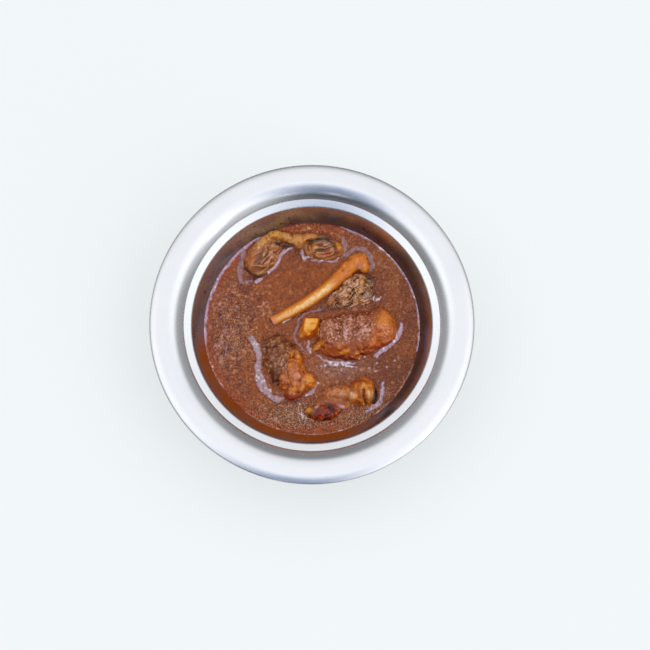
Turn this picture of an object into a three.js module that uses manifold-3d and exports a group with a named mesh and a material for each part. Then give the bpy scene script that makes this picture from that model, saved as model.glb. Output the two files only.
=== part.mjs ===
// Peanut stew with chicken on the bone, in a stainless-steel serving bowl.
//
// Millimetres, +Z up. The origin is the middle of the bowl's base, on the surface that it stands on.
// The bowl is pressed from one sheet: a flat floor, a leaning wall, a narrow ledge for a lid, and a wide
// rim that rises from the ledge, rolls over a crest and ends in a curled edge. The stew fills it to a
// little below the ledge, and five pieces of chicken stand out of the stew.

import * as THREE from "three";
import { mergeVertices } from "three/addons/utils/BufferGeometryUtils.js";
import Module from "manifold-3d";

const wasm = await Module();
wasm.setup();

// ---------------------------------------------------------------------------------- driving dimensions

const turns = 32; // flats round the bowl and the stew
const lobeSides = 11; // flats round a lobe of the chicken
const lobeRings = 6; // and from its top to its bottom
const shaftSides = 10; // flats round the bone's shaft
const clearance = 0.4; // between the stew, the meat, the bones and the bowl

const sheet = 1; // thickness of the bowl's steel
const rimRadius = 131.6; // to the outside of the curled edge
const curlRadius = 1.4; // of the curled edge
const rollRadius = 19; // of the rim's fall from its crest to the curl
const rollAngle = THREE.MathUtils.degToRad(20); // its slope where the curl begins
const crestRadius = 118.2; // where the rim has risen to its crest
const crestHeight = 78.5;
const ledgeHeight = 71.6; // at its outer side
const ledgeSlope = THREE.MathUtils.degToRad(12); // down towards the middle
const ledgeOuterRadius = 103.8; // where the rim rises from the ledge
const ledgeInnerRadius = 98.6; // where the ledge turns down into the wall
const shoulderRadius = 2; // of that turn
const wallLean = THREE.MathUtils.degToRad(29.5); // from upright, wider towards the top
const cornerRadius = 30; // between the wall and the floor

const stewLevel = 52;
const creepHeight = 1.4; // how far the stew climbs the wall
const creepWidth = 3; // and how far from the wall the climb starts

const steelColour = 0xd6dade;
const stewColour = 0x8c4f2c;
const coatedMeatColour = 0xa8673a;
const shreddedMeatColour = 0x94653f;
const boneColour = 0xd08a4a;

// --------------------------------------------------------------------------------------- solid helpers

// A closed geometry as a solid that can be joined and cut.
function solidOf(geometry) {
  const sameSpot = 0.001; // vertices closer than this are one
  const bare = new THREE.BufferGeometry().setAttribute("position", geometry.getAttribute("position"));
  bare.setIndex(geometry.getIndex());
  const merged = mergeVertices(bare, sameSpot);
  return new wasm.Manifold(
    new wasm.Mesh({
      numProp: 3,
      vertProperties: merged.attributes.position.array,
      triVerts: new Uint32Array(merged.index.array),
    }),
  );
}

// A solid as a named mesh with its own material.
function meshOf(name, solid, color, roughness, metalness = 0) {
  const { vertProperties, triVerts } = solid.getMesh();
  const geometry = new THREE.BufferGeometry();
  geometry.setAttribute("position", new THREE.BufferAttribute(vertProperties, 3));
  geometry.setIndex(new THREE.BufferAttribute(triVerts, 1));
  geometry.computeVertexNormals();
  const mesh = new THREE.Mesh(geometry, new THREE.MeshStandardMaterial({ color, roughness, metalness }));
  mesh.name = name;
  return mesh;
}

// A profile of (radius, height) points turned about the upright axis.
function turned(profile) {
  return solidOf(new THREE.LatheGeometry(profile, turns).rotateX(Math.PI / 2));
}

function joined(solids) {
  return solids.reduce((whole, solid) => whole.add(solid));
}

// -------------------------------------------------------------------------------------------- the bowl

const arc = (x, y, radius, from, to, steps) =>
  new THREE.EllipseCurve(x, y, radius, radius, from, to, to < from).getPoints(steps);

// The surface that faces up and inwards, from the middle of the floor to the inner side of the ledge.
function wallFace() {
  const ledgeWidth = ledgeOuterRadius - ledgeInnerRadius;
  const ledgeInnerHeight = ledgeHeight - ledgeWidth * Math.tan(ledgeSlope);
  const shoulder = new THREE.Vector2(
    ledgeInnerRadius + shoulderRadius * Math.sin(ledgeSlope),
    ledgeInnerHeight - shoulderRadius * Math.cos(ledgeSlope),
  );
  const wallTop = new THREE.Vector2(
    shoulder.x - shoulderRadius * Math.cos(wallLean),
    shoulder.y + shoulderRadius * Math.sin(wallLean),
  );
  const wallBottomHeight = sheet + cornerRadius * (1 - Math.sin(wallLean));
  const wallBottomRadius = wallTop.x - (wallTop.y - wallBottomHeight) * Math.tan(wallLean);
  const floorRadius = wallBottomRadius - cornerRadius * Math.cos(wallLean);
  return [
    new THREE.Vector2(0, sheet),
    ...arc(floorRadius, sheet + cornerRadius, cornerRadius, -Math.PI / 2, -wallLean, 3),
    ...arc(shoulder.x, shoulder.y, shoulderRadius, Math.PI - wallLean, Math.PI / 2 + ledgeSlope, 2),
  ];
}

// The rest of that surface, from the outer side of the ledge over the crest to the tip of the curl.
function rimFace() {
  const riseWidth = crestRadius - ledgeOuterRadius;
  const riseHeight = crestHeight - ledgeHeight;
  const riseRadius = (riseWidth ** 2 + riseHeight ** 2) / (2 * riseHeight);
  const riseSlope = 2 * Math.atan2(riseHeight, riseWidth);
  const curlStart = Math.PI / 2 - rollAngle;
  const curlEnd = -0.8 * Math.PI;
  const curl = new THREE.Vector2(
    rimRadius - curlRadius,
    crestHeight - rollRadius * (1 - Math.cos(rollAngle)) - curlRadius * Math.cos(rollAngle),
  );
  const rollMiddle = curl.x + (curlRadius - rollRadius) * Math.sin(rollAngle);
  return [
    ...arc(crestRadius, crestHeight - riseRadius, riseRadius, Math.PI / 2 + riseSlope, Math.PI / 2, 4),
    ...arc(rollMiddle, crestHeight - rollRadius, rollRadius, Math.PI / 2, curlStart, 2),
    ...arc(curl.x, curl.y, curlRadius, curlStart, curlEnd, 5).slice(1),
  ];
}

// The same line moved by distance to its right, which is the sheet's underside.
function offsetLine(line, distance) {
  const normals = line.slice(1).map((point, i) => {
    const along = point.clone().sub(line[i]).normalize();
    return new THREE.Vector2(along.y, -along.x);
  });
  return line.map((point, i) => {
    const before = normals[Math.max(i - 1, 0)];
    const after = normals[Math.min(i, normals.length - 1)];
    const mitre = before.clone().add(after).normalize();
    return point.clone().addScaledVector(mitre, distance / mitre.dot(before));
  });
}

function bowlSolid() {
  const face = [...wallFace(), ...rimFace()];
  const underside = offsetLine(face, sheet);
  underside[0].x = 0;
  return turned([...underside, ...face.reverse()]);
}

// What lies in the bowl stays inside this line, a clearance off its floor and wall.
const bed = offsetLine(wallFace(), -clearance);
bed[0].x = 0;
const well = turned([...bed, new THREE.Vector2(0, bed.at(-1).y)]);

// ------------------------------------------------------------------------------------ chicken, in lobes

// One rounded lobe of meat, skin or gristle: a ball stretched to its three half sizes, squared off or
// pointed by its power, narrowed to one end by its taper, and made uneven by long low ripples.
// spot is [x, y, height of its middle above the stew], and turn is in degrees about the upright axis.
function lobe({ spot, size, turn = 0, power = 1, taper = 0, ripple = 0.05, phase = 0 }, grow) {
  const geometry = new THREE.SphereGeometry(1, lobeSides, lobeRings);
  const position = geometry.getAttribute("position");
  const point = new THREE.Vector3();
  const squared = (value) => Math.sign(value) * Math.abs(value) ** power;
  for (let i = 0; i < position.count; i++) {
    point.fromBufferAttribute(position, i);
    const across = Math.sin(3.1 * point.x + 2.3 * point.y + phase);
    const upright = Math.cos(2.7 * point.z - 1.9 * point.y + 2 * phase);
    const narrowing = 1 - taper * point.x;
    point.set(squared(point.x), squared(point.y) * narrowing, squared(point.z) * narrowing);
    point.multiplyScalar(1 + ripple * across * upright);
    point.multiply(new THREE.Vector3(size[0] + grow, size[1] + grow, size[2] + grow));
    position.setXYZ(i, point.x, point.y, point.z);
  }
  geometry.rotateZ(THREE.MathUtils.degToRad(turn));
  geometry.translate(spot[0], spot[1], stewLevel + spot[2]);
  return solidOf(geometry);
}

const lobesOf = (lobes) => (grow) => joined(lobes.map((shape) => lobe(shape, grow)));

// A leg bone's shaft from one point to another, swelling towards its far end and bowed to its right.
function boneShaft({ from, to, startRadius, middleRadius, endRadius, bow }, grow) {
  const start = new THREE.Vector3(from[0], from[1], stewLevel + from[2]);
  const end = new THREE.Vector3(to[0], to[1], stewLevel + to[2]);
  const length = start.distanceTo(end);
  const steps = 8;
  const { lerp, smoothstep } = THREE.MathUtils;
  const profile = [new THREE.Vector2(0, -grow)];
  for (let i = 0; i <= steps; i++) {
    const along = i / steps;
    const slim = lerp(startRadius, middleRadius, smoothstep(along, 0, 0.5));
    const radius = lerp(slim, endRadius, smoothstep(along, 0.65, 1));
    profile.push(new THREE.Vector2(radius + grow, lerp(-grow, length + grow, along)));
  }
  profile.push(new THREE.Vector2(0, length + grow));
  const geometry = new THREE.LatheGeometry(profile, shaftSides);
  const position = geometry.getAttribute("position");
  for (let i = 0; i < position.count; i++) {
    const along = position.getY(i) / length;
    position.setX(i, position.getX(i) + bow * Math.sin(Math.PI * along));
  }
  const upright = new THREE.Vector3(0, 1, 0);
  const direction = end.clone().sub(start).normalize();
  geometry.applyQuaternion(new THREE.Quaternion().setFromUnitVectors(upright, direction));
  geometry.translate(start.x, start.y, start.z);
  return solidOf(geometry);
}

const legBoneShaft = {
  from: [-31.5, 7, 2.4],
  to: [35.5, 50.5, 3],
  startRadius: 3.2,
  middleRadius: 4.4,
  endRadius: 5.4,
  bow: 3.6,
};
const legBoneKnuckles = [
  { spot: [36.4, 57.5, 3], size: [6.2, 7.6, 6.4], turn: -20, ripple: 0.03 },
  { spot: [42.5, 51, 3], size: [5.6, 7.8, 6.2], turn: 15, ripple: 0.03, phase: 1 },
];
const drumstickKnuckle = [
  { spot: [-1, -0.8, 1], size: [9, 8.6, 8.6], turn: 38, power: 0.6, ripple: 0.03, phase: 0.8 },
  { spot: [9, -3, -4], size: [12, 6, 6], ripple: 0.02, phase: 0.2 },
];
const drumstickMeat = [
  { spot: [29, -7, -8.5], size: [30, 22, 19.5], turn: 4, power: 0.85, phase: 1.7 },
  { spot: [57, 0.5, -6], size: [14.2, 17.8, 17], turn: 10, power: 0.9, ripple: 0.04, phase: 0.3 },
  { spot: [4.5, -15, -3], size: [8, 4.8, 7], turn: 42, phase: 2.2 },
];
const legMeat = [
  { spot: [28, 26, -8], size: [20, 12, 15], turn: 20, ripple: 0.09, phase: 0.9 },
  { spot: [40, 32, -6.5], size: [12, 14.5, 14], turn: 20, ripple: 0.08, phase: 2.6 },
  { spot: [20, 21.5, -4], size: [10, 6, 9], turn: 12, ripple: 0.08, phase: 1.9 },
];
const thighPiece = [
  { spot: [-26, -25.5, -10], size: [17, 25, 18], turn: 21, power: 0.85, ripple: 0.06, phase: 2.4 },
  { spot: [-12, -42, -7], size: [14, 22, 17], turn: 10, ripple: 0.07, phase: 1.1 },
  { spot: [-4, -43.5, -4], size: [9.5, 10.5, 12.5], ripple: 0.06, phase: 0.5 },
  { spot: [-12, -27, -4], size: [7.5, 8, 12], turn: 30, phase: 3 },
];
const drumettePiece = [
  { spot: [43, -53, -5], size: [13, 15.5, 14], turn: 12, ripple: 0.07, phase: 0.6 },
  { spot: [50, -55.5, -3], size: [6.5, 11, 10], turn: 10, phase: 2 },
  { spot: [22.5, -54.5, -7], size: [17, 9, 12], turn: 10, ripple: 0.06, phase: 2.9 },
  { spot: [9.5, -70.5, -7], size: [18.5, 8.8, 12.5], turn: 3, ripple: 0.07, phase: 1.5 },
];
const wingPiece = [
  { spot: [-38.5, 58.5, -7.5], size: [21.5, 14.5, 15], turn: 43, ripple: 0.07, phase: 0.4 },
  { spot: [-36, 72, -1.5], size: [12.5, 5.4, 8.2], turn: 22, phase: 1.2 },
  { spot: [-15, 72.5, 0.6], size: [13, 6.4, 8.6], turn: -4, ripple: 0.06, phase: 2.1 },
  { spot: [4, 75.5, -1.4], size: [13.5, 4.6, 7.8], turn: 7, phase: 0.9 },
  { spot: [10.5, 64.5, -7], size: [18, 10.6, 13.5], turn: -5, ripple: 0.06, phase: 3.3 },
];

function legBone(grow) {
  return joined([boneShaft(legBoneShaft, grow), lobesOf(legBoneKnuckles)(grow)]);
}

// The pieces in the order that they press against each other: each gives way to those before it.
const chicken = [
  { name: "leg_bone", shape: legBone, colour: boneColour },
  { name: "drumstick_knuckle", shape: lobesOf(drumstickKnuckle), colour: boneColour },
  { name: "drumstick_meat", shape: lobesOf(drumstickMeat), colour: coatedMeatColour },
  { name: "leg_meat", shape: lobesOf(legMeat), colour: shreddedMeatColour },
  { name: "thigh_piece", shape: lobesOf(thighPiece), colour: coatedMeatColour },
  { name: "drumette_piece", shape: lobesOf(drumettePiece), colour: coatedMeatColour },
  { name: "wing_piece", shape: lobesOf(wingPiece), colour: coatedMeatColour },
];

// --------------------------------------------------------------------------------------------- the stew

// The stew's own outline, up to the wall and over the climb there, before the chicken is cut out of it.
function stewSolid() {
  const wetted = bed.filter((point) => point.y < stewLevel);
  const wallFoot = wetted.at(-1);
  const wallTop = bed[wetted.length];
  const shoreHeight = stewLevel + creepHeight;
  const shore = wallFoot.clone().lerp(wallTop, (shoreHeight - wallFoot.y) / (wallTop.y - wallFoot.y));
  const climb = [0.35, 0.7, 1].map((share) => {
    const radius = shore.x - share * creepWidth;
    return new THREE.Vector2(radius, stewLevel + creepHeight * (1 - share) ** 2);
  });
  return turned([...wetted, shore, ...climb, new THREE.Vector2(0, stewLevel)]);
}

// --------------------------------------------------------------------------------------------- assembly

const dish = new THREE.Group();
dish.add(meshOf("bowl", bowlSolid(), steelColour, 0.2, 1));

let stew = stewSolid();
const placed = [];
for (const { name, shape, colour } of chicken) {
  const solid = placed.reduce((rest, hole) => rest.subtract(hole), shape(0).intersect(well));
  const hole = shape(clearance);
  dish.add(meshOf(name, solid, colour, 0.5));
  placed.push(hole);
  stew = stew.subtract(hole);
}
// A drop that the pieces close off between them isn't a body of its own.
const [stewBody] = stew.decompose().sort((a, b) => b.volume() - a.volume());
dish.add(meshOf("stew", stewBody, stewColour, 0.3));

export default dish;
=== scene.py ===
import math

import bmesh
import bpy
import numpy as np
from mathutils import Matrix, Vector
from mathutils.bvhtree import BVHTree


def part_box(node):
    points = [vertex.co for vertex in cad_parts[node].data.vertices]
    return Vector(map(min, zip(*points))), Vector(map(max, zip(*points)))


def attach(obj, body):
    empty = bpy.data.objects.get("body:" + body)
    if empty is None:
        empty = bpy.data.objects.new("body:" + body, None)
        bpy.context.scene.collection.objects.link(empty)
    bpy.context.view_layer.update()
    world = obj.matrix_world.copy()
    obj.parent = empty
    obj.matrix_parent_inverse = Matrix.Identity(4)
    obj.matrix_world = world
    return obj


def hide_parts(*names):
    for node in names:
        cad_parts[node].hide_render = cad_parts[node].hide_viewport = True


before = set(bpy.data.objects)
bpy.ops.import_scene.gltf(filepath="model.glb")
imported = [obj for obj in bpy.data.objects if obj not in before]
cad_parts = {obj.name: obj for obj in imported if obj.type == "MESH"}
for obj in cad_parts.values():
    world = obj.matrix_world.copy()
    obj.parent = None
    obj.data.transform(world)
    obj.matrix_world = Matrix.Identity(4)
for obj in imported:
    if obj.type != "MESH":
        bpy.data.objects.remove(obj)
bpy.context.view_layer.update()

# ------------------------ camera
# The camera looks at the dish from two metres away, eleven degrees short of straight down. Its lens takes
# in 526 mm at that distance, and it aims a little to the right of the bowl's middle.
MM = 0.001
scene = bpy.context.scene
scene.view_settings.view_transform = "Standard"

sensor_width = 36.0
lens_length = 136.96
camera_distance = 2.0
camera_elevation = math.radians(79.09)
camera_aim = Vector((10.59, -1.41, 74)) * MM
camera_back = Vector((0, -math.cos(camera_elevation), math.sin(camera_elevation)))
camera = bpy.data.objects.new("camera", bpy.data.cameras.new("camera"))
camera.data.sensor_width = sensor_width
camera.data.lens = lens_length
camera.location = camera_aim + camera_back * camera_distance
camera.rotation_mode = "QUATERNION"
camera.rotation_quaternion = (-camera_back).to_track_quat("-Z", "Y")
scene.collection.objects.link(camera)
scene.camera = camera

# ------------------------ table and light
# A smooth white table under a white tent of light, brightest overhead, with a dark, bluish patch on the
# near side. Metal and sauce mirror both, so what the tent gives is set by direction.


class Wire:
    """One output of a node. Arithmetic on it adds the Math nodes that work the result out."""

    def __init__(self, tree, socket=None):
        self.tree = tree
        self.socket = socket

    def node(self, kind, inputs=(), out=0, **settings):
        """Adds a node: its settings first, then its sockets' values or links."""
        made = self.tree.nodes.new(kind)
        for name, value in settings.items():
            setattr(made, name, value)
        for name, value in dict(inputs).items():
            if isinstance(value, Wire):
                self.tree.links.new(value.socket, made.inputs[name])
            else:
                made.inputs[name].default_value = value
        return Wire(self.tree, made.outputs[out] if made.outputs else None)

    def maths(self, operation, first, second):
        return self.node("ShaderNodeMath", {0: first, 1: second}, operation=operation)

    def __add__(self, other):
        return self.maths("ADD", self, other)

    def __sub__(self, other):
        return self.maths("SUBTRACT", self, other)

    def __rsub__(self, other):
        return self.maths("SUBTRACT", other, self)

    def __mul__(self, other):
        return self.maths("MULTIPLY", self, other)

    def __truediv__(self, other):
        return self.maths("DIVIDE", self, other)

    def __pow__(self, other):
        return self.maths("POWER", self, other)

    __radd__ = __add__
    __rmul__ = __mul__

    def between(self, low, high):
        """0 at low and 1 at high, eased and held outside them."""
        inputs = {"Value": self, 1: low, 2: high}
        return self.node("ShaderNodeMapRange", inputs, interpolation_type="SMOOTHSTEP")

    def mix(self, first, second):
        """Blends two colours by this value."""
        inputs = {0: self, 6: first, 7: second}
        return self.node("ShaderNodeMix", inputs, out=2, data_type="RGBA")

    def dot(self, direction):
        inputs = {0: self, 1: direction}
        return self.node("ShaderNodeVectorMath", inputs, out="Value", operation="DOT_PRODUCT")

    def scaled(self, amount):
        """This colour times an amount."""
        return self.node("ShaderNodeVectorMath", {0: self, 3: amount}, operation="SCALE")

    def cloudy(self, scale, detail):
        """A cloudy pattern from 0 to 1 over this place, finer as scale grows."""
        return self.node("ShaderNodeTexNoise", {"Vector": self, "Scale": scale, "Detail": detail})

    def kept(self, name, out="Fac"):
        """What the mesh keeps at each point under that name."""
        return self.node("ShaderNodeAttribute", out=out, attribute_name=name)

    def bump(self, height, strength, distance):
        """Relief where height goes from 0 to 1 over a distance in metres."""
        inputs = {"Height": height, "Strength": strength, "Distance": distance}
        return self.node("ShaderNodeBump", inputs)


def new_material(name):
    material = bpy.data.materials.new(name)
    material.use_nodes = True
    material.node_tree.nodes.clear()
    return material, Wire(material.node_tree)


def finish_with(wire, inputs):
    shader = wire.node("ShaderNodeBsdfPrincipled", inputs)
    wire.node("ShaderNodeOutputMaterial", {"Surface": shader})


def pigment(red, green, blue):
    """The pigment that shows as these 0-255 display values under the tent, less the gloss on it."""
    shown = np.array([red, green, blue]) / 255
    light = np.where(shown < 0.04045, shown / 12.92, ((shown + 0.055) / 1.055) ** 2.4)
    return np.clip((light - 0.035) / 0.95, 0.003, 1)


def flat_paint(red, green, blue):
    """The same as a colour that a socket takes."""
    return (*pigment(red, green, blue).tolist(), 1.0)


table_size = 6.0
floor = bpy.data.objects.new("floor", bpy.data.meshes.new("floor"))
half_table = table_size / 2
corners = [(x * half_table, y * half_table, 0) for x, y in ((-1, -1), (1, -1), (1, 1), (-1, 1))]
floor.data.from_pydata(corners, [], [(0, 1, 2, 3)])
scene.collection.objects.link(floor)
table_white, wire = new_material("table_white")
finish_with(wire, {
    "Base Color": (0.42, 0.445, 0.48, 1),
    "Roughness": 0.7,
    "Emission Color": (0.97, 1.0, 0.945, 1),
    "Emission Strength": 0.53,
})
floor.data.materials.append(table_white)

tent = bpy.data.worlds.new("tent")
tent.use_nodes = True
tent.node_tree.nodes.clear()
scene.world = tent
wire = Wire(tent.node_tree)
heading = wire.node("ShaderNodeTexCoord", out="Generated")
upward = heading.dot((0, 0, 1))


def panel(direction, edge, core):
    """1 towards a direction in the sky, easing to 0; edge and core are cosines of the angle from it."""
    return heading.dot(tuple(Vector(direction).normalized())).between(edge, core)


# The tent is dim at the table and bright overhead, a little darker on its far side, high and low, and at
# the near left, and brighter at the near right.
light = 0.37 + 0.10 * upward.between(0, 0.35) + 1.13 * upward.between(0.56, 0.84)
light = light * (1 - 0.22 * panel((0, 0.57, 0.82), 0.75, 0.97))
light = light * (1 - 0.28 * panel((0, 1, 0.1), 0.75, 0.97))
light = light + 0.35 * panel((0.55, -0.5, 0.45), 0.80, 0.99)
light = light * (1 - 0.25 * panel((-0.75, -0.5, 0.4), 0.80, 0.97))

# The dark patch lies a little to the left of the camera and is narrow: its upper part, fifty degrees up,
# is bluish, and its lower part, near the table, is only dim.
patch_side = Vector((-0.174, -0.985, 0))
along = heading.dot(tuple(patch_side))
across = heading.dot((patch_side.y, -patch_side.x, 0))
in_line = 1 - ((across * across) / (across * across + along * along + 0.06)).between(0.06, 0.34)
patch_height = math.radians(50)
upper_patch = tuple(patch_side * math.cos(patch_height) + Vector((0, 0, math.sin(patch_height))))
upper_dark = in_line * 0.72 * panel(upper_patch, 0.72, 0.97)
lower_dark = in_line * 0.5 * panel((patch_side.x, patch_side.y, 0.2), 0.78, 0.96)
light = light * (1 - upper_dark) * (1 - lower_dark)
tint = upper_dark.mix((0.97, 0.98, 1.0, 1), (0.46, 0.68, 1.20, 1))
background = wire.node("ShaderNodeBackground", {"Color": tint, "Strength": light})
wire.node("ShaderNodeOutputWorld", {"Surface": background})


def soft_box(name, direction, width, power):
    """A small square lamp above the table, turned to the dish."""
    distance = 1.5
    lamp = bpy.data.objects.new(name, bpy.data.lights.new(name, "AREA"))
    lamp.data.shape = "RECTANGLE"
    lamp.data.size = width
    lamp.data.size_y = width
    lamp.data.energy = power
    middle = Vector((0, 0, 0.06))
    lamp.location = middle + Vector(direction).normalized() * distance
    lamp.rotation_mode = "QUATERNION"
    lamp.rotation_quaternion = (middle - lamp.location).to_track_quat("-Z", "Y")
    scene.collection.objects.link(lamp)


soft_box("near_left", (-0.17, -0.70, 0.69), width=0.035, power=0.20)
soft_box("near_right", (0.17, -0.70, 0.69), width=0.035, power=0.20)
soft_box("right", (0.62, -0.42, 0.66), width=0.04, power=0.35)

# ------------------------ the bowl
# A serving bowl pressed from one disc of stainless steel: flat floor, leaning wall, a narrow ledge for a
# lid, and a wide rim that rises to a rolled crest and ends in a curled edge. Inside, the steel above the
# stew is darker and duller, bluish towards the far left, and a brown film of oil clings to the wall.
steel_thickness = 1.0 * MM
rim_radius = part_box("bowl")[1].x + 0.05 * MM
curl_radius = 1.4 * MM
roll_radius = 19 * MM
roll_angle = math.radians(20)
crest_radius = 118.2 * MM
crest_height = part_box("bowl")[1].z
ledge_height = 71.6 * MM
ledge_slope = math.radians(12)
ledge_outer_radius = 103.8 * MM
ledge_inner_radius = 98.6 * MM
shoulder_radius = 2 * MM
wall_lean = math.radians(29.5)
corner_radius = 30 * MM
bowl_turns = 288
film_radius = 90 * MM
stew_line = (50.5 * MM, 51.5 * MM)
film_top = (53.5 * MM, 61.5 * MM)
dim_top = (59.0 * MM, 70.5 * MM)
splash_top = (62 * MM, 69 * MM)
wall_top_line = (69.0 * MM, 70.2 * MM)


def arc(middle, radius, start, end, steps):
    angle = np.linspace(start, end, steps + 1)
    return np.stack([middle[0] + radius * np.cos(angle), middle[1] + radius * np.sin(angle)], 1)


def wall_face():
    """Radius and height along the face that looks up and inwards, from the floor's middle to the ledge."""
    inner_height = ledge_height - (ledge_outer_radius - ledge_inner_radius) * math.tan(ledge_slope)
    slope = np.array([math.sin(ledge_slope), -math.cos(ledge_slope)])
    shoulder = np.array([ledge_inner_radius, inner_height]) + shoulder_radius * slope
    wall_top = shoulder + shoulder_radius * np.array([-math.cos(wall_lean), math.sin(wall_lean)])
    bottom_height = steel_thickness + corner_radius * (1 - math.sin(wall_lean))
    bottom_radius = wall_top[0] - (wall_top[1] - bottom_height) * math.tan(wall_lean)
    corner = (bottom_radius - corner_radius * math.cos(wall_lean), steel_thickness + corner_radius)
    return np.concatenate([
        [(0, steel_thickness)],
        arc(corner, corner_radius, -math.pi / 2, -wall_lean, steps=14),
        arc(shoulder, shoulder_radius, math.pi - wall_lean, math.pi / 2 + ledge_slope, steps=8),
    ])


def rim_face():
    """The same from the ledge's outer side over the crest to the tip of the curled edge."""
    width = crest_radius - ledge_outer_radius
    height = crest_height - ledge_height
    rise_radius = (width**2 + height**2) / (2 * height)
    rise_slope = 2 * math.atan2(height, width)
    rise_middle = (crest_radius, crest_height - rise_radius)
    curl = np.array([
        rim_radius - curl_radius,
        crest_height - roll_radius * (1 - math.cos(roll_angle)) - curl_radius * math.cos(roll_angle),
    ])
    roll_middle = (
        curl[0] + (curl_radius - roll_radius) * math.sin(roll_angle),
        crest_height - roll_radius,
    )
    straight_up = math.pi / 2
    curl_start = straight_up - roll_angle
    return np.concatenate([
        arc(rise_middle, rise_radius, straight_up + rise_slope, straight_up, steps=16),
        arc(roll_middle, roll_radius, straight_up, curl_start, steps=8),
        arc(curl, curl_radius, curl_start, -0.8 * math.pi, steps=12)[1:],
    ])


def offset_line(line, distance):
    """The same line moved to its right, with mitred corners."""
    along = np.diff(line, axis=0)
    along /= np.linalg.norm(along, axis=1)[:, None]
    right = np.stack([along[:, 1], -along[:, 0]], 1)
    before = np.concatenate([right[:1], right])
    after = np.concatenate([right, right[-1:]])
    mitre = before + after
    mitre /= np.linalg.norm(mitre, axis=1)[:, None]
    return line + mitre * (distance / np.sum(mitre * before, axis=1))[:, None]


def new_tree(name, **sockets):
    """A Geometry Nodes tree with a geometry in and out, and its named inputs as wires."""
    tree = bpy.data.node_groups.new(name, "GeometryNodeTree")
    tree.interface.new_socket("Geometry", in_out="OUTPUT", socket_type="NodeSocketGeometry")
    tree.interface.new_socket("Geometry", in_out="INPUT", socket_type="NodeSocketGeometry")
    for socket, kind in sockets.items():
        tree.interface.new_socket(socket, in_out="INPUT", socket_type="NodeSocket" + kind)
    group = tree.nodes.new("NodeGroupInput")
    return tree, {plug.name: Wire(tree, plug) for plug in group.outputs if plug.name}


def end_tree(tree, geometry, material):
    """Every tree ends alike: real instances, a material and the group's output."""
    wire = Wire(tree)
    solid = wire.node("GeometryNodeRealizeInstances", {"Geometry": geometry})
    coated = wire.node("GeometryNodeSetMaterial", {"Geometry": solid, "Material": material})
    out = tree.nodes.new("NodeGroupOutput")
    tree.links.new(coated.socket, out.inputs[0])


def grow(carrier, tree, **values):
    """Runs the tree on the object and keeps the result as the object's plain mesh."""
    modifier = carrier.modifiers.new("rule", "NODES")
    modifier.node_group = tree
    for item in tree.interface.items_tree:
        if item.in_out == "INPUT" and item.name in values:
            modifier[item.identifier] = values[item.name]
    graph = bpy.context.evaluated_depsgraph_get()
    mesh = bpy.data.meshes.new_from_object(carrier.evaluated_get(graph))
    carrier.modifiers.remove(modifier)
    carrier.data = mesh


def new_object(name, points, edges, faces):
    mesh = bpy.data.meshes.new(name)
    mesh.from_pydata(points, edges, faces)
    made = bpy.data.objects.new(name, mesh)
    scene.collection.objects.link(made)
    return made


def settle(piece, slot, *nodes):
    """The piece rides on the part's one body and stands for its node, if it has one. The slot is not used."""
    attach(piece, "root")
    if nodes:
        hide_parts(*nodes)


def shade_smooth(mesh, sharp_angle=180):
    mesh.shade_smooth()
    if sharp_angle < 180:
        mesh.set_sharp_from_angle(angle=math.radians(sharp_angle))


steel, wire = new_material("spun_steel")
place = wire.node("ShaderNodeTexCoord", out="Object")
split = wire.node("ShaderNodeSeparateXYZ", {0: place}).socket.node
place_x, place_y, height = (Wire(wire.tree, plug) for plug in split.outputs)
radius = (place_x * place_x + place_y * place_y) ** 0.5
grooves = wire.node("ShaderNodeTexNoise", {
    "W": radius + height,
    "Scale": 2600.0,
    "Detail": 3.0,
}, noise_dimensions="1D")
cloud = place.cloudy(34.0, 4.0)
scuffs = place.cloudy(420.0, 5.0)
spots = place.cloudy(260.0, 2.0)
upper_side = wire.node("ShaderNodeNewGeometry", out="Normal").dot((0, 0, 1)).between(0, 0.1)
in_bowl = upper_side * height.between(*stew_line) * (1 - height.between(*wall_top_line))
oily_side = (place.dot((-0.45, -0.89, 0)) / film_radius).between(0.2, 0.75)
far_left = (place.dot((-0.7, 0.71, 0)) / film_radius).between(0.45, 0.95)
film_edge = height + 0.008 * (cloud - 0.5) - 0.010 * oily_side
film = (1 - film_edge.between(*film_top)) * in_bowl
film = film * (0.05 + 0.95 * oily_side) * (0.55 + 0.9 * cloud)
# The steel above the stew is made darker and duller, bluish towards the far left.
dim_wall = (1 - film_edge.between(*dim_top)) * in_bowl * (1 - 0.5 * far_left)
splash = spots.between(0.66, 0.70) * (1 - height.between(*splash_top)) * in_bowl
bare = cloud.mix((0.64, 0.655, 0.68, 1), (0.70, 0.71, 0.725, 1))
dim_steel = far_left.mix((0.25, 0.25, 0.29, 1), (0.20, 0.26, 0.42, 1))
dimmed = dim_wall.mix(bare, dim_steel)
oiled = film.mix(dimmed, flat_paint(160, 90, 44))
colour = splash.mix(oiled, flat_paint(150, 96, 58))
finish_with(wire, {
    "Base Color": colour,
    "Metallic": 1 - 0.85 * film,
    "Roughness": 0.19 + 0.08 * cloud + 0.06 * scuffs,
    "Normal": wire.bump(grooves * 0.6 + scuffs * 0.4, 0.06, 0.2 * MM),
})

tree, ports = new_tree("sweep_profile", Turns="Int", PathRadius="Float", Steel="Material")
wire = Wire(tree)
path = wire.node(
    "GeometryNodeCurvePrimitiveCircle", {"Resolution": ports["Turns"], "Radius": ports["PathRadius"]}
)
profile = wire.node("GeometryNodeMeshToCurve", {"Mesh": ports["Geometry"]})
swept = wire.node("GeometryNodeCurveToMesh", {"Curve": path, "Profile Curve": profile})
closed = wire.node("GeometryNodeMergeByDistance", {"Geometry": swept, "Distance": 0.01 * MM})
end_tree(tree, closed, ports["Steel"])

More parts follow.
